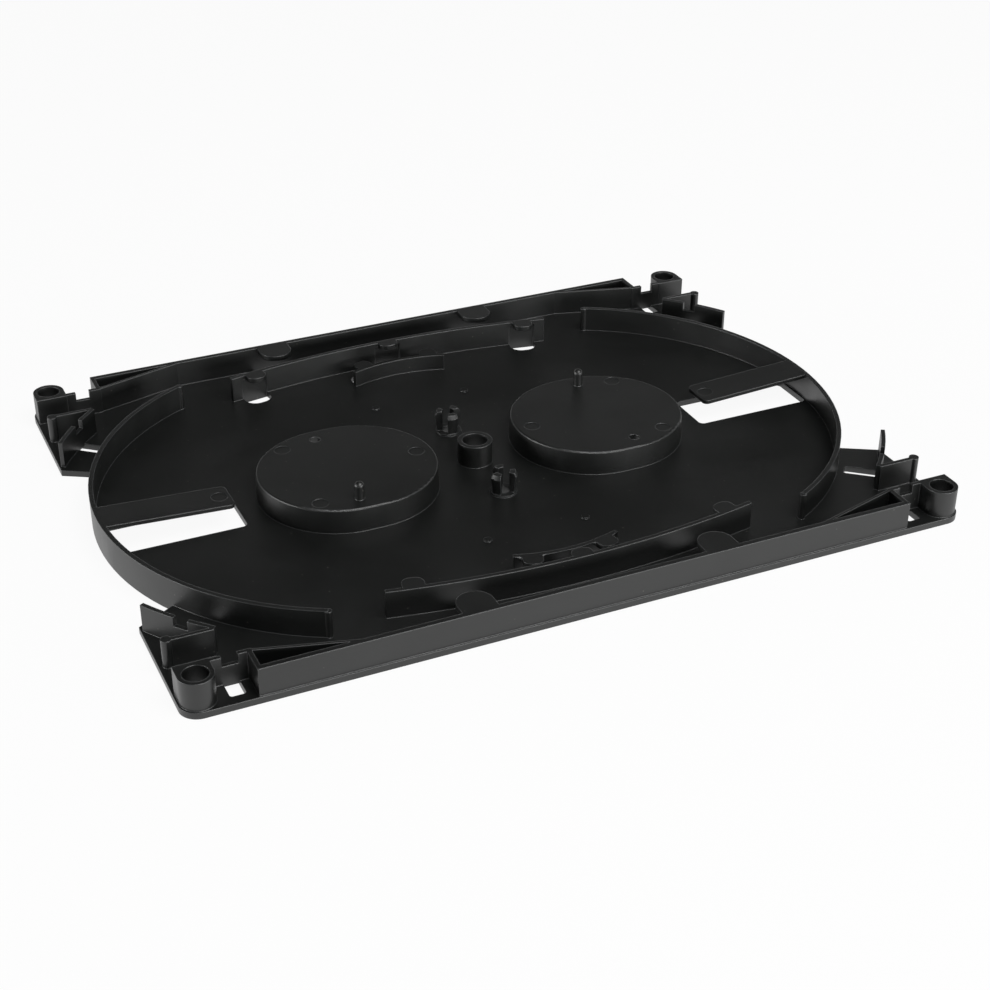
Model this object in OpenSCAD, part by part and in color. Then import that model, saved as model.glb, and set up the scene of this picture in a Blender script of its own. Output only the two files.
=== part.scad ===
// Fibre splice tray, moulded in one piece.
// Origin: middle of the underside. X runs along the tray, Y across it, Z up.
// The plan is mirror symmetric about both axes, except for the hub pins and hub holes,
// which trade places from one hub to the other.

/* [Tray] */
// Distance between corner hole centres along the tray
pitch_x = 160; // [154:1:176]
// Distance between corner hole centres across the tray
pitch_y = 118; // [114:1:126]
// Thickness of the floor
floor_t = 1.4; // [1:0.1:2]
// Height of the full walls above the floor
wall_h = 5.9; // [5.4:0.1:9]
// Thickness of the end arcs, the middle walls and the short walls
wall_t = 1; // [0.8:0.1:1.3]
// Floor lip left outside the walls
lip = 0.35; // [0.2:0.05:0.8]

/* [Corner bosses] */
// Diameter of each corner hole
corner_hole_d = 5; // [4:0.1:5.2]
// Radius of each corner boss
boss_r = 3.4; // [3:0.05:3.6]
// Distance from the hole centre to the boss's flat side
boss_flat = 3.6; // [3.5:0.1:4.2]

/* [Side walls] */
// Thickness of the side walls
side_t = 1.2; // [1:0.1:1.5]
// Distance from the corner hole centre to the end of the side wall
side_end_gap = 10.3; // [9.5:0.1:14]
// Thickness of the slanted wall of the hollow wedge
wedge_t = 0.6; // [0.5:0.1:1]
// Length of the hollow wedge along the wall
wedge_l = 22.5; // [16:0.5:28]
// Thickness of the wall that closes the hollow wedge
wedge_end_t = 0.9; // [0.7:0.1:1.4]
// Distance from the tray centre to each side tab
side_tab_x = 26; // [18:0.5:32]
// Width of the side tabs
side_tab_w = 7.4; // [6:0.1:8.4]
// Reach of the side tabs from the wall
side_tab_l = 6.2; // [4.5:0.1:6.8]
// Corner radius at the nose of the side tabs
side_tab_r = 3.6; // [2:0.1:3.7]

/* [Tabs] */
// Thickness of every tab at the top of a wall
tab_t = 1.2; // [0.9:0.1:1.5]
// Corner radius at the nose of the tabs of the middle and short walls
tab_r = 1.8; // [1:0.1:2]
// Margin of the floor window round the tab above it
window_gap = 0.9; // [0.4:0.1:1]
// Depth that the windows of the middle walls bite into the wall under the tab
window_bite = 0.4; // [0.1:0.05:0.5]

/* [Cable entries] */
// Thickness of the entry walls
entry_t = 0.9; // [0.7:0.1:1.2]
// Distance from the corner hole centre to the outer entry wall
outer_entry_y = 3; // [2.7:0.1:3.2]
// Distance from the corner hole centre to the inner entry wall
inner_entry_y = 12.1; // [10.5:0.1:13]
// Radius of the bead at the mouth of the inner entry wall
mouth_r = 1.05; // [0.6:0.05:1.2]
// Distance from the side of the tray to the mouth of the inner entry wall
mouth_gap = 0.4; // [0.2:0.1:1.2]
// Width of the tie slots
tie_w = 3.1; // [2.2:0.1:3.4]
// Length of the outer tie slots
tie_l = 4; // [3:0.1:4.2]
// Depth of the notch in the wall beside a tie slot
tie_notch = 2; // [1:0.1:3]
// Gap between an end arc and the inner tie slots
inner_tie_gap = 1.4; // [0.4:0.1:3]
// Reach of the inner tie slots outside the guide arc
tie_out = 1.8; // [1:0.1:3]
// Distance from the corner hole centre to the outer tie slot
tie_x = 7; // [6.4:0.1:7.2]

/* [End arcs] */
// Outer radius of the end arcs
arc_r = 56.3; // [54:0.1:57]
// Half angle that an end arc spans
arc_half = 63.5; // [58:0.5:66]
// Radius of the rounded bead that ends an arc
bead_r = 0.75; // [0.6:0.05:1]
// Step from the top of an arc down to the top of its bead
bead_drop = 0.15; // [0.1:0.05:1]
// Radial gap between an end arc and the guide arc outside it
guide_gap = 8.6; // [8:0.05:10]
// Angle between the tip of a guide arc and the edge of the floor
ear_a = 1.3; // [0.4:0.1:2]
// Angle where the guide arcs meet the inner entry walls
guide_a1 = 45.6; // [44:0.1:46]
// Angle of the inner tie slots
tie_a = 39.4; // [37:0.1:41]

/* [Middle walls] */
// Clear channel between a side wall and the crown of the middle wall
mid_gap = 8.15; // [7.5:0.05:11]
// Outer radius of the middle walls
mid_r = 199; // [150:1:300]
// Half length of the middle walls
mid_half = 40.2; // [38.5:0.1:42]
// Distance from the tray centre to the outer tabs of the middle walls
mid_tab_x = 34.4; // [30:0.1:36]
// Width of the tabs of the middle walls
mid_tab_w = 4.5; // [3.5:0.1:5]
// Reach of the outer tabs of the middle walls
mid_tab_l = 3; // [2:0.1:3.4]
// Reach of the central tab of each middle wall
crown_tab_l = 2.3; // [1.5:0.1:2.8]

/* [Short walls] */
// Clear channel between a middle wall and the crown of the short wall
short_gap = 5.45; // [5:0.05:7]
// Outer radius of the short walls
short_r = 34.6; // [30:0.1:60]
// Half length of the short walls
short_half = 11.6; // [11:0.1:14]
// Height of the short walls above the floor
short_h = 3.75; // [3:0.05:5]
// Distance from the tray centre to each tab of the short walls
short_tab_x = 8; // [7:0.1:8.8]
// Width of the tabs of the short walls
short_tab_w = 4.2; // [3.4:0.1:4.6]
// Reach of the tabs of the short walls
short_tab_l = 3; // [2:0.1:3.4]

/* [Hubs] */
// Distance from the tray centre to each hub centre
hub_x = 29.6; // [27:0.1:31]
// Radius of the hub ends at the floor
hub_r = 17.9; // [16:0.1:18.5]
// Straight length between the two hub ends
hub_l = 3.6; // [2:0.1:5]
// Draft of the hub wall from the floor to the top
hub_draft = 0.3; // [0:0.05:0.6]
// Height of the hub top above the floor
hub_h = 5.45; // [4.5:0.05:8]
// Radius of the rounded edge of the hub top
hub_edge = 0.4; // [0.3:0.1:1.1]
// Thickness of the hub shell
hub_t = 1.3; // [1:0.1:1.8]
// Distance along the tray from the hub centre to its pin and hole
peg_x = 2.4; // [0:0.1:5]
// Distance across the tray from the hub centre to its pin and hole
peg_y = 13.7; // [10:0.1:14.2]
// Diameter of the hub pins
peg_d = 2.1; // [1.6:0.1:2.3]
// Height of the hub pins above the hub top
peg_h = 4; // [2.4:0.1:5]
// Diameter of the hub holes
peg_hole_d = 2.4; // [2.2:0.1:2.8]

/* [Ejector marks] */
// Diameter of the ejector pin marks
mark_d = 3.5; // [2.5:0.1:3.6]
// Depth of the ejector pin marks
mark_depth = 0.1; // [0.05:0.05:0.2]
// Distance along the tray from the hub centre to its two outer marks
mark_x = 10.4; // [6:0.1:10.6]
// Distance across the tray from the hub centre to its two outer marks
mark_y = 12.2; // [8:0.1:12.4]
// Distance from the inner end of a hub to its inner mark
mark_end = 3.9; // [3.2:0.1:8]
// Distance from the tongue tip to its mark
mark_tip = 2.3; // [2.2:0.1:8]

/* [Tongues] */
// Width of the end tongues
tongue_w = 8.2; // [6:0.1:9]
// Length of the end tongues from the inside of the arc
tongue_l = 26.9; // [20:0.1:28]
// Drop of the tongue from the arc to its tip
tongue_drop = 1.35; // [0:0.05:2.2]
// Thickness of the end tongues
tongue_t = 0.9; // [0.7:0.1:1.5]
// Radius of the tongue tip corners
tongue_r = 1.2; // [0.6:0.1:2]
// Margin of the end slot round the tongue
slot_gap = 1.8; // [1:0.1:2]

/* [Centre] */
// Outer diameter of the centre boss
centre_d = 7.6; // [7.2:0.1:8.2]
// Diameter of the centre hole
centre_hole_d = 5.6; // [4:0.1:6]
// Height of the centre boss and of the split posts above the floor
centre_h = 5.1; // [4:0.1:6]
// Distance from the tray centre to each split post
post_y = 14.8; // [13:0.1:18]
// Radius of the base of a split post
post_r = 2.4; // [2:0.05:2.5]
// Radius of the snap lip of a split post
post_lip_r = 3.1; // [2.6:0.05:3.2]
// Radius of the hole between the prongs
post_core_r = 1.45; // [0.7:0.05:1.6]
// Angle that each prong spans
prong_a = 48; // [36:1:90]
// Height from the lip to the top of a prong
prong_nose = 0.9; // [0.6:0.1:1.8]
// Radius of the round base of a split post
post_base_r = 2.9; // [2.6:0.05:3.4]
// Height of the round base of a split post
post_base_h = 0.4; // [0.2:0.1:0.8]
// Distance along the tray from the tray centre to each floor pip
pip_x = 11.1; // [9:0.1:13]
// Distance across the tray from the tray centre to each floor pip
pip_y = 31.4; // [24:0.1:34]
// Diameter of the floor pips
pip_d = 1.8; // [1:0.1:2]
// Height of the floor pips
pip_h = 0.3; // [0.2:0.05:0.6]

/* [Hidden] */
$fn = 96;

// Overlap of a wall into the floor, and of a cut past a face
sink = 0.5;
// Radius of the corners of the tie slots
win_r = 0.6;
// Narrow land between a floor window or slot and the wall beside it
land = 0.2;

hole_x = pitch_x / 2;
hole_y = pitch_y / 2;
top = floor_t + wall_h;

// Outer faces of the walls, which the floor lip follows
face_x = hole_x + boss_r;
face_y = hole_y + boss_r;
side_in = face_y - side_t;
side_end = hole_x - side_end_gap;

// Centre of the end arcs on each side, and radii of the guide arcs
arc_cx = face_x - arc_r;
arc_in = arc_r - wall_t;
guide_in = arc_r + guide_gap;
guide_out = guide_in + entry_t;
// The guide arcs start where their outer face meets the outer face of the bosses
guide_a0 = acos(arc_r / guide_out);

// Middle and short walls: outer face at the crown, and the centre of each arc
mid_out = side_in - mid_gap;
mid_cy = mid_out - mid_r;
short_out = mid_out - wall_t - short_gap;
short_cy = short_out - short_r;

tongue_root = arc_cx + arc_in;
tongue_tip = tongue_root - tongue_l;
hub_top = floor_t + hub_h;

module in_quadrants() {
    for (mx = [0, 1], my = [0, 1])
        mirror([mx, 0, 0])
            mirror([0, my, 0])
                children();
}

module both_sides() {
    for (my = [0, 1])
        mirror([0, my, 0])
            children();
}

module both_ends() {
    for (mx = [0, 1])
        mirror([mx, 0, 0])
            children();
}

// Walls stand in the floor by a small overlap
module raise(h) {
    translate([0, 0, floor_t - sink])
        linear_extrude(h + sink)
            children();
}

// Curved wall about the origin, from angle a0 to a1, with its outer face at radius r
module arc_wall(r, t, a0, a1, h, foot = floor_t - sink) {
    rotate(a0)
        rotate_extrude(angle = a1 - a0)
            translate([r - t, foot])
                square([t, floor_t + h - foot]);
}

// Curved wall bowed towards +Y, about (0, cy), that spans x from -half to half
module bowed_wall(r, cy, half, h) {
    a = asin(half / r);
    translate([0, cy, 0])
        arc_wall(r, wall_t, 90 - a, 90 + a, h);
}

// Rectangle with round corners, from corner (x0, y0) to (x1, y1)
module round_box(x0, y0, x1, y1, r) {
    translate([x0 + r, y0])
        square([x1 - x0 - 2 * r, y1 - y0]);
    translate([x0, y0 + r])
        square([x1 - x0, y1 - y0 - 2 * r]);
    for (x = [x0 + r, x1 - r], y = [y0 + r, y1 - r])
        translate([x, y])
            circle(r);
}

// Tab outline: from y = root it reaches to y = -reach, with round corners at the nose
module tab_outline(w, reach, nose_r, root) {
    r = min(nose_r, w / 2 - 0.05, reach - 0.2);
    intersection() {
        round_box(-w / 2, -reach, w / 2, root + 2 * r, r);
        translate([-w / 2, -reach])
            square([w, reach + root]);
    }
}

// ---- floor ----

module floor_outline() {
    edge_x = face_x + lip;
    edge_y = face_y + lip;
    difference() {
        round_box(-edge_x, -edge_y, edge_x, edge_y, boss_r + lip);
        both_ends() ear_gap();
    }
}

// Between the ears the floor stops inside the end arc, whose wall runs down to the underside
module ear_gap() {
    far = arc_r * 1.5;
    translate([arc_cx, 0])
        difference() {
            polygon([
                [0, 0],
                [far * cos(guide_a0 - ear_a), -far * sin(guide_a0 - ear_a)],
                [far * cos(guide_a0 - ear_a), far * sin(guide_a0 - ear_a)]
            ]);
            circle(arc_r - wall_t / 2, $fn = 180);
        }
}

// Places a shape on a bowed wall, at radius r about (0, cy), with its own +Y pointing outwards
module on_bow(r, cy, x) {
    translate([0, cy])
        rotate(-asin(x / r))
            translate([0, r])
                children();
}

// Windows stand off the wall beside them by a narrow land
module side_window() {
    translate([side_tab_x, side_in - land])
        tab_outline(
            side_tab_w + 2 * window_gap,
            side_tab_l + window_gap - land,
            side_tab_r + window_gap,
            0
        );
}

module mid_window(x, reach) {
    on_bow(mid_r - wall_t, mid_cy, x)
        tab_outline(
            mid_tab_w + 2 * window_gap,
            reach + window_gap,
            tab_r + window_gap,
            window_bite
        );
}

// Cores under the tabs of the middle walls: each cuts its window and a recess in the wall
module mid_cores() {
    translate([0, 0, -sink])
        linear_extrude(top - tab_t + land + sink)
            both_sides()
                for (x = [-mid_tab_x, 0, mid_tab_x])
                    mid_window(x, x == 0 ? crown_tab_l : mid_tab_l);
}

module short_window() {
    on_bow(short_r + land, short_cy, short_tab_x)
        rotate(180)
            tab_outline(
                short_tab_w + 2 * window_gap,
                short_tab_l + window_gap - land,
                tab_r + window_gap,
                0
            );
}

// Tie slot that runs under the outer entry wall and opens on both sides of it
module outer_tie_slot() {
    reach = tie_l + entry_t / 2;
    translate([hole_x - tie_x, hole_y - outer_entry_y])
        round_box(-tie_w / 2, -reach, tie_w / 2, reach, win_r);
}

// Tie slot that runs under the guide arc and opens on both sides of it
module inner_tie_slot() {
    translate([arc_cx, 0])
        rotate(tie_a)
            round_box(arc_r + inner_tie_gap, -tie_w / 2, guide_out + tie_out, tie_w / 2, win_r);
}

module end_slot() {
    w = tongue_w / 2 + slot_gap;
    x1 = arc_cx + sqrt(arc_in * arc_in - w * w) - land;
    round_box(tongue_tip - slot_gap, -w, x1, w, tongue_r);
}

module floor_plate() {
    linear_extrude(floor_t)
        difference() {
            floor_outline();
            in_quadrants() {
                side_window();
                short_window();
                outer_tie_slot();
                inner_tie_slot();
            }
            both_ends() end_slot();
        }
    in_quadrants()
        translate([pip_x, pip_y, floor_t - sink])
            cylinder(h = pip_h + sink, d = pip_d);
}

// ---- walls ----

module side_walls() {
    both_sides()
        raise(wall_h)
            translate([-side_end, side_in])
                square([2 * side_end, side_t]);
    in_quadrants() {
        side_wedge();
        side_tab();
    }
}

// Hollow wedge at the end of a side wall: an end plate and a slanted inner wall
module side_wedge() {
    y_in = hole_y - outer_entry_y - entry_t / 2;
    depth = face_y - side_t / 2 - y_in;
    slant = atan2(depth, wedge_l);
    raise(wall_h) {
        translate([side_end - wedge_end_t, y_in])
            square([wedge_end_t, depth]);
        intersection() {
            translate([side_end, y_in])
                rotate(180 - slant)
                    translate([0, -wedge_t])
                        square([wedge_l / cos(slant), wedge_t]);
            translate([side_end - wedge_l, y_in])
                square([wedge_l, depth]);
        }
    }
}

module side_tab() {
    translate([side_tab_x, side_in, top - tab_t])
        linear_extrude(tab_t)
            tab_outline(side_tab_w, side_tab_l, side_tab_r, side_t / 2);
}

module end_arcs() {
    both_ends()
        translate([arc_cx, 0, 0]) {
            arc_wall(arc_r, wall_t, -arc_half, arc_half, wall_h, 0, $fn = 180);
            for (s = [-1, 1])
                rotate(s * arc_half)
                    translate([arc_r - wall_t / 2, 0])
                        raise(wall_h - bead_drop)
                            circle(bead_r);
        }
}

module middle_walls() {
    both_sides()
        bowed_wall(mid_r, mid_cy, mid_half, wall_h, $fn = 360);
}

module middle_tabs() {
    both_sides()
        for (x = [-mid_tab_x, 0, mid_tab_x])
            translate([0, 0, top - tab_t])
                linear_extrude(tab_t)
                    on_bow(mid_r - wall_t, mid_cy, x)
                        tab_outline(mid_tab_w, x == 0 ? crown_tab_l : mid_tab_l, tab_r, wall_t / 2);
}

module short_walls() {
    both_sides() {
        bowed_wall(short_r, short_cy, short_half, short_h, $fn = 180);
        for (x = [-short_tab_x, short_tab_x])
            translate([0, 0, floor_t + short_h - tab_t])
                linear_extrude(tab_t)
                    on_bow(short_r, short_cy, x)
                        rotate(180)
                            tab_outline(short_tab_w, short_tab_l, tab_r, wall_t / 2);
    }
}

// ---- corner entries ----

module corner_bosses() {
    in_quadrants()
        raise(wall_h) {
            translate([hole_x, hole_y])
                circle(boss_r);
            translate([hole_x - boss_r, hole_y - boss_flat])
                square([2 * boss_r, boss_flat]);
        }
}

// Outer entry wall, from the side wall's end to the boss, notched at the tie slot
module outer_entry() {
    x0 = side_end - wedge_end_t;
    difference() {
        raise(wall_h)
            translate([x0, hole_y - outer_entry_y - entry_t / 2])
                square([hole_x - boss_r / 2 - x0, entry_t]);
        translate([hole_x - tie_x - tie_w / 2, hole_y - outer_entry_y - entry_t, top - tie_notch])
            cube([tie_w, 2 * entry_t, tie_notch + sink]);
    }
}

// Inner entry wall, which runs into the guide arc, with a bead at its mouth
module inner_entry() {
    y0 = hole_y - inner_entry_y - entry_t / 2;
    x0 = arc_cx + sqrt(pow(guide_in + entry_t / 2, 2) - y0 * y0);
    raise(wall_h) {
        translate([x0, y0])
            square([face_x - mouth_gap - mouth_r - x0, entry_t]);
        translate([face_x - mouth_gap - mouth_r, y0 + entry_t / 4])
            circle(mouth_r);
    }
}

// Guide arc outside the end arc, notched at the inner tie slot
module guide_arc() {
    translate([arc_cx, 0, 0])
        difference() {
            arc_wall(guide_out, entry_t, guide_a0, guide_a1, wall_h, $fn = 180);
            rotate(tie_a)
                translate([guide_in - sink, -tie_w / 2, top - tie_notch])
                    cube([entry_t + 2 * sink, tie_w, tie_notch + sink]);
        }
}

module cable_entries() {
    corner_bosses();
    in_quadrants() {
        outer_entry();
        inner_entry();
        guide_arc();
    }
}

// ---- hubs ----

// Half section of a hub: drafted wall and rounded top edge
module hub_section(r0, r1, z1, e) {
    polygon([[0, 0], [r0, 0], [r1, z1 - e], [0, z1 - e]]);
    square([r1 - e, z1]);
    translate([r1 - e, z1 - e])
        circle(e, $fn = 48);
}

// Solid with round ends and a straight middle, swept from the half section
module hub_form(r0, r1, z1, e) {
    for (s = [-1, 1])
        translate([s * hub_l / 2, 0, 0])
            rotate_extrude($fn = 120)
                intersection() {
                    hub_section(r0, r1, z1, e);
                    square([2 * r0, 2 * z1]);
                }
    translate([-hub_l / 2, 0, 0])
        rotate([90, 0, 90])
            linear_extrude(hub_l)
                for (m = [0, 1])
                    mirror([m, 0])
                        hub_section(r0, r1, z1, e);
}

module hub_shells() {
    for (s = [-1, 1])
        translate([s * hub_x, 0, 0])
            hub_form(hub_r, hub_r - hub_draft, hub_top, hub_edge);
}

module hub_pockets() {
    r = hub_r - hub_t;
    for (s = [-1, 1])
        translate([s * hub_x, 0, -sink])
            hub_form(r, r - hub_draft, hub_top - hub_t + sink, hub_edge / 2);
}

// Pins: one on each hub, at opposite corners
module hub_pins() {
    for (s = [-1, 1])
        translate([s * (hub_x + peg_x), s * peg_y, hub_top - sink]) {
            cylinder(h = peg_h + sink - peg_d / 2, d = peg_d, $fn = 48);
            translate([0, 0, peg_h + sink - peg_d / 2])
                sphere(d = peg_d, $fn = 48);
        }
}

module hub_holes() {
    for (s = [-1, 1])
        translate([s * (hub_x + peg_x), -s * peg_y, hub_top - hub_t - sink])
            cylinder(h = hub_t + 2 * sink, d = peg_hole_d, $fn = 48);
}

// ---- tongues ----

// Tongue that leans in from the top of an end arc, over the end slot
module tongues() {
    root = tongue_root + wall_t / 2;
    both_ends()
        intersection() {
            translate([0, tongue_w / 2, 0])
                rotate([90, 0, 0])
                    linear_extrude(tongue_w)
                        polygon([
                            [tongue_tip, top - tongue_drop - tongue_t],
                            [tongue_root, top - tongue_t],
                            [root, top - tongue_t],
                            [root, top],
                            [tongue_root, top],
                            [tongue_tip, top - tongue_drop]
                        ]);
            linear_extrude(top + sink)
                round_box(
                    tongue_tip,
                    -tongue_w / 2,
                    root + tongue_r,
                    tongue_w / 2,
                    tongue_r
                );
        }
}

// ---- centre ----

module centre_boss() {
    translate([0, 0, floor_t - sink])
        cylinder(h = centre_h + sink, d = centre_d);
}

// One prong of a split post: a wedge with an outward lip and a sloped nose
module prong() {
    rotate(-prong_a / 2)
        rotate_extrude(angle = prong_a, $fn = 72)
            polygon([
                [0, floor_t - sink],
                [post_r, floor_t - sink],
                [post_lip_r, floor_t + centre_h - prong_nose],
                [post_lip_r - 0.5, floor_t + centre_h],
                [0, floor_t + centre_h]
            ]);
}

module split_posts() {
    both_sides()
        translate([0, post_y, 0]) {
            translate([0, 0, floor_t - sink])
                cylinder(h = post_base_h + sink, r = post_base_r);
            for (a = [30, 150, 270])
                rotate(a)
                    prong();
        }
}

module bores() {
    for (x = [-hole_x, hole_x], y = [-hole_y, hole_y])
        translate([x, y, -sink])
            cylinder(h = top + 2 * sink, d = corner_hole_d, $fn = 64);
    translate([0, 0, -sink])
        cylinder(h = top + 2 * sink, d = centre_hole_d, $fn = 64);
    for (y = [-post_y, post_y])
        translate([0, y, -sink])
            cylinder(h = top + 2 * sink, r = post_core_r, $fn = 48);
}

// Round marks of the ejector pins, on the hub tops and on the tongues
module ejector_marks() {
    in_quadrants()
        translate([hub_x + mark_x, mark_y, hub_top - mark_depth])
            cylinder(h = sink, d = mark_d, $fn = 48);
    both_ends() {
        translate([hub_x - hub_l / 2 - hub_r + mark_end, 0, hub_top - mark_depth])
            cylinder(h = sink, d = mark_d, $fn = 48);
        slope = atan2(tongue_drop, tongue_l);
        translate([tongue_tip, 0, top - tongue_drop])
            rotate([0, -slope, 0])
                translate([mark_tip, 0, -mark_depth])
                    cylinder(h = sink, d = mark_d, $fn = 48);
    }
}

module splice_tray() {
    color("#1d1e20")
        difference() {
            union() {
                difference() {
                    union() {
                        floor_plate();
                        middle_walls();
                    }
                    mid_cores();
                }
                middle_tabs();
                side_walls();
                end_arcs();
                short_walls();
                cable_entries();
                hub_shells();
                hub_pins();
                tongues();
                centre_boss();
                split_posts();
            }
            hub_pockets();
            hub_holes();
            bores();
            ejector_marks();
        }
}

splice_tray();
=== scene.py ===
"""Looks for a one-piece fibre splice tray, injection moulded in black ABS.

The tray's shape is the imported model's own. This file gives it its moulded finish and
sets it on a pale floor under soft studio light.
"""

import math

import bpy
import numpy as np
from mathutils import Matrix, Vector

MM = 0.001

# Where the photographer's camera stands, and its turn from +Y to +X, its tilt down from
# the level and its roll, in degrees
CAMERA_PLACE = (-137.92 * MM, -310.99 * MM, 193.86 * MM)
CAMERA_AZIMUTH = 24.662
CAMERA_DROP = 30.624
CAMERA_ROLL = 0.2455
SENSOR_MM = 36.0
FOCAL_PIXELS = 1780.46
IMAGE_PIXELS = 990
CLIP_NEAR, CLIP_FAR = 0.01, 20

# Soft lamps, all turned to the tray: name, place and size in metres, power in watts
LAMPS = (
    ("overhead_softbox", (0.15, -0.5, 0.85), (0.8, 0.6), 8),
    ("left_softbox", (-0.95, 0.15, 0.09), (0.7, 0.12), 5),
    ("front_softbox", (0.4, -0.75, 0.11), (0.9, 0.18), 4.5),
)
# Level of the dim room, where 1 is white
ROOM_LEVEL = 0.08

# Share of the floor's look that is a level white, and not lit by the lamps
FLOOR_LEVEL_SHARE = 0.93
# The floor lies this far under the tray, so that their faces never coincide
FLOOR_GAP = 0.02 * MM
# Profile of the floor in metres: radius where it stops being level, radius of the bend
# that lifts it, and height of the rim
SWEEP_FLAT = 5.0
SWEEP_BEND = 1.0
SWEEP_RIM = 1.3
# Radii of the rings on the level part, and steps round the bend and round the turn
SWEEP_RINGS = (0.0005, 0.3, 1.0, 3.0)
BEND_STEPS = 13
TURN_STEPS = 96


def hex_colour(code):
    """sRGB hex to linear RGBA: each channel c becomes ((c + 0.055) / 1.055) ^ 2.4,
    or c / 12.92 when it is small."""
    channels = [int(code[i : i + 2], 16) / 255 for i in (1, 3, 5)]
    return tuple(
        c / 12.92 if c <= 0.04045 else ((c + 0.055) / 1.055) ** 2.4 for c in channels
    ) + (1.0,)


def node(tree, kind, settings=None, inputs=None, links=None):
    """Adds one node. Sockets go by name or number: inputs holds plain values, and links
    maps an input to (another node, its output)."""
    new = tree.nodes.new(kind)
    for name, value in (settings or {}).items():
        setattr(new, name, value)
    for socket, value in (inputs or {}).items():
        new.inputs[socket].default_value = value
    for socket, (source, output) in (links or {}).items():
        tree.links.new(source.outputs[output], new.inputs[socket])
    return new


def empty_material(name):
    """A new material, and its node tree with nothing in it."""
    material = bpy.data.materials.new(name)
    material.use_nodes = True
    material.node_tree.nodes.clear()
    return material, material.node_tree


def colour_over(tree, share, under, code):
    """Lays the colour of a hex code over the colour of the node under, by share, which
    is (a node, its output)."""
    return node(
        tree,
        "ShaderNodeMix",
        settings={"data_type": "RGBA"},
        inputs={"B": hex_colour(code)},
        links={"Factor": share, "A": (under, "Result")},
    )


def moulded_black_abs():
    """Black ABS, injection moulded in a fine spark-eroded steel tool. That gives a deep
    neutral black with a satin sheen, a slow change of gloss where the melt flowed and
    shrank, and a few pale specks of dust. The arrises are painted paler, a painted
    highlight where the rounded edges catch the light."""
    material, tree = empty_material("moulded_black_abs")
    place = node(tree, "ShaderNodeTexCoord")
    at = (place, "Object")

    # Spark-eroded grain of about 0.15 mm, drawn at 0.4 mm so that it shows
    grain = node(
        tree,
        "ShaderNodeTexNoise",
        inputs={"Scale": 1 / (0.4 * MM), "Detail": 3.0, "Roughness": 0.6},
        links={"Vector": at},
    )
    # Flow and shrinkage, about 18 mm across
    flow = node(
        tree,
        "ShaderNodeTexNoise",
        inputs={"Scale": 1 / (18 * MM), "Detail": 3.0, "Roughness": 0.55, "Distortion": 0.6},
        links={"Vector": at},
    )
    # Dust of about 0.1 mm, drawn at 0.3 mm so that it shows, a speck every 3 mm or so
    specks = node(
        tree,
        "ShaderNodeTexVoronoi",
        inputs={"Scale": 1 / (3 * MM), "Randomness": 1.0},
        links={"Vector": at},
    )
    dust = node(
        tree,
        "ShaderNodeMapRange",
        inputs={"From Min": 0.035, "From Max": 0.06, "To Min": 0.45, "To Max": 0.0},
        links={"Value": (specks, "Distance")},
    )

    # Arrises, where the edge highlight is painted: within 0.3 mm of an edge the bevelled
    # normal parts from the face's own
    edge = node(tree, "ShaderNodeBevel", settings={"samples": 12}, inputs={"Radius": 0.3 * MM})
    face = node(tree, "ShaderNodeNewGeometry")
    facing = node(
        tree,
        "ShaderNodeVectorMath",
        settings={"operation": "DOT_PRODUCT"},
        links={0: (edge, "Normal"), 1: (face, "True Normal")},
    )
    arris = node(
        tree,
        "ShaderNodeMapRange",
        inputs={"From Min": 0.97, "From Max": 0.75, "To Min": 0.0, "To Max": 1.0},
        links={"Value": (facing, "Value")},
    )

    # Carbon black in the melt, a little deeper and a little paler as it flowed
    body = node(
        tree,
        "ShaderNodeMix",
        settings={"data_type": "RGBA"},
        inputs={"A": hex_colour("#0b0c0b"), "B": hex_colour("#131514")},
        links={"Factor": (flow, "Fac")},
    )
    # Painted highlight: the arrises are painted a paler grey, standing in for light glinting
    # on the rounded edges
    painted_edge_highlight = colour_over(tree, (arris, "Result"), body, "#3a3c3d")
    dusty = colour_over(tree, (dust, "Result"), painted_edge_highlight, "#6a6863")

    gloss = node(
        tree,
        "ShaderNodeMapRange",
        inputs={"From Min": 0.3, "From Max": 0.7, "To Min": 0.34, "To Max": 0.46},
        links={"Value": (flow, "Fac")},
    )
    relief = node(
        tree,
        "ShaderNodeBump",
        inputs={"Strength": 0.25, "Distance": 0.02 * MM},
        links={"Height": (grain, "Fac"), "Normal": (edge, "Normal")},
    )
    shader = node(
        tree,
        "ShaderNodeBsdfPrincipled",
        inputs={"IOR": 1.62},
        links={
            "Base Color": (dusty, "Result"),
            "Roughness": (gloss, "Result"),
            "Normal": (relief, "Normal"),
        },
    )
    node(tree, "ShaderNodeOutputMaterial", links={"Surface": (shader, "BSDF")})
    return material


def white_paper():
    """Matt white paper. Camera, glossy and transmitted rays see it mostly at a level
    white, and the rest of its light is plain diffuse, which keeps a faint shadow under
    the tray."""
    material, tree = empty_material("white_paper")
    paper = node(
        tree,
        "ShaderNodeBsdfPrincipled",
        inputs={"Base Color": hex_colour("#f4f4f4"), "Roughness": 0.9},
    )
    level = node(
        tree,
        "ShaderNodeEmission",
        inputs={"Color": hex_colour("#ffffff"), "Strength": 1.0},
    )
    rays = node(tree, "ShaderNodeLightPath")
    seen = (rays, "Is Camera Ray")
    for kind in ("Is Glossy Ray", "Is Transmission Ray"):
        either = node(
            tree,
            "ShaderNodeMath",
            settings={"operation": "MAXIMUM"},
            links={0: seen, 1: (rays, kind)},
        )
        seen = (either, "Value")
    share = node(
        tree,
        "ShaderNodeMath",
        settings={"operation": "MULTIPLY"},
        inputs={1: FLOOR_LEVEL_SHARE},
        links={0: seen},
    )
    mixed = node(
        tree,
        "ShaderNodeMixShader",
        links={"Fac": (share, "Value"), 1: (paper, "BSDF"), 2: (level, "Emission")},
    )
    node(tree, "ShaderNodeOutputMaterial", links={"Surface": (mixed, "Shader")})
    return material


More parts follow.
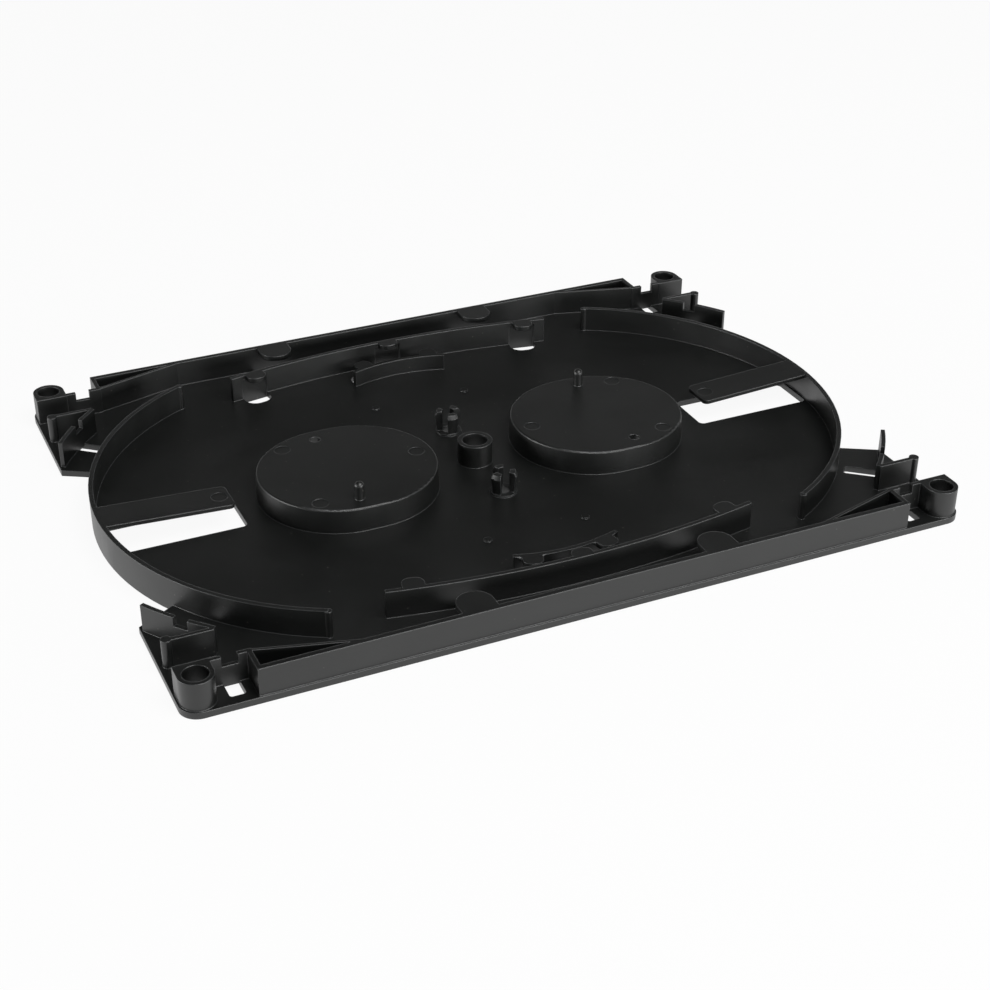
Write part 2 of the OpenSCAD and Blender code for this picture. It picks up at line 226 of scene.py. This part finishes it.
def add_camera():
    """The camera fitted to the photograph's view of the tray."""
    azimuth, drop, roll = (
        math.radians(v) for v in (CAMERA_AZIMUTH, CAMERA_DROP, CAMERA_ROLL)
    )
    forward = Vector(
        (
            math.sin(azimuth) * math.cos(drop),
            math.cos(azimuth) * math.cos(drop),
            -math.sin(drop),
        )
    )
    data = bpy.data.cameras.new("studio_camera")
    data.lens = FOCAL_PIXELS / IMAGE_PIXELS * SENSOR_MM
    data.sensor_width = SENSOR_MM
    data.clip_start = CLIP_NEAR
    data.clip_end = CLIP_FAR
    camera = bpy.data.objects.new("studio_camera", data)
    bpy.context.scene.collection.objects.link(camera)
    camera.location = CAMERA_PLACE
    camera.rotation_euler = forward.to_track_quat("-Z", "Y").to_euler()
    camera.rotation_euler.rotate_axis("Z", roll)
    bpy.context.scene.camera = camera


def add_sweep(material):
    """Round studio floor that curves up into a low wall, swept about Z.
    With turn a and profile step t, a point is (r(t) cos a, r(t) sin a, z(t)). The profile
    runs level to the radius SWEEP_FLAT. Round the bend, for t from 0 to pi / 2, it is
    r = SWEEP_FLAT + SWEEP_BEND sin t and z = SWEEP_BEND (1 - cos t). Then it rises to
    SWEEP_RIM. All of it lies FLOOR_GAP lower."""
    quarter = np.linspace(0, np.pi / 2, BEND_STEPS)
    radius = np.concatenate(
        [SWEEP_RINGS, SWEEP_FLAT + SWEEP_BEND * np.sin(quarter), [SWEEP_FLAT + SWEEP_BEND]]
    )
    height = np.concatenate(
        [np.zeros(len(SWEEP_RINGS)), SWEEP_BEND - SWEEP_BEND * np.cos(quarter), [SWEEP_RIM]]
    )
    turn = np.linspace(0, 2 * np.pi, TURN_STEPS, endpoint=False)
    grid = np.stack(
        [
            np.outer(radius, np.cos(turn)),
            np.outer(radius, np.sin(turn)),
            np.outer(height, np.ones_like(turn)) - FLOOR_GAP,
        ],
        axis=-1,
    )
    index = np.arange(len(radius) * TURN_STEPS).reshape(len(radius), TURN_STEPS)
    after = np.roll(index, -1, axis=1)
    walls = np.stack([index[:-1], index[1:], after[1:], after[:-1]], axis=-1).reshape(-1, 4)
    mesh = bpy.data.meshes.new("sweep")
    mesh.from_pydata(grid.reshape(-1, 3).tolist(), [], [index[0].tolist()] + walls.tolist())
    mesh.materials.append(material)
    mesh.shade_smooth()
    sweep = bpy.data.objects.new("sweep", mesh)
    bpy.context.scene.collection.objects.link(sweep)


def add_lamp(name, place, size, power):
    """A rectangular soft lamp that faces the middle of the tray."""
    data = bpy.data.lights.new(name, "AREA")
    data.shape = "RECTANGLE"
    data.size, data.size_y = size
    data.energy = power
    lamp = bpy.data.objects.new(name, data)
    bpy.context.scene.collection.objects.link(lamp)
    lamp.location = place
    lamp.rotation_euler = (-Vector(place)).to_track_quat("-Z", "Y").to_euler()


def add_world(strength):
    """A dim grey room, the same to every ray, so that level faces mirror a dark wall."""
    world = bpy.data.worlds.new("studio")
    bpy.context.scene.world = world
    world.use_nodes = True
    tree = world.node_tree
    tree.nodes.clear()
    room = node(
        tree,
        "ShaderNodeBackground",
        inputs={"Color": hex_colour("#ffffff"), "Strength": strength},
    )
    node(tree, "ShaderNodeOutputWorld", links={"Surface": (room, "Background")})


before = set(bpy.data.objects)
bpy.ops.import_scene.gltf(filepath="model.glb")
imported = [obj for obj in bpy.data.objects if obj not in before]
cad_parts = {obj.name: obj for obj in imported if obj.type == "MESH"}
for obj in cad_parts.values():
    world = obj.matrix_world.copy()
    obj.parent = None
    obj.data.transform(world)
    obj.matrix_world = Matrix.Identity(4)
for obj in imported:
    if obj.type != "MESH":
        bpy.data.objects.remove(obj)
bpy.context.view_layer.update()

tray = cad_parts["splice_tray"]
tray.data.materials.clear()
tray.data.materials.append(moulded_black_abs())

add_sweep(white_paper())
for lamp in LAMPS:
    add_lamp(*lamp)
add_world(ROOM_LEVEL)
add_camera()
bpy.context.scene.view_settings.view_transform = "Standard"
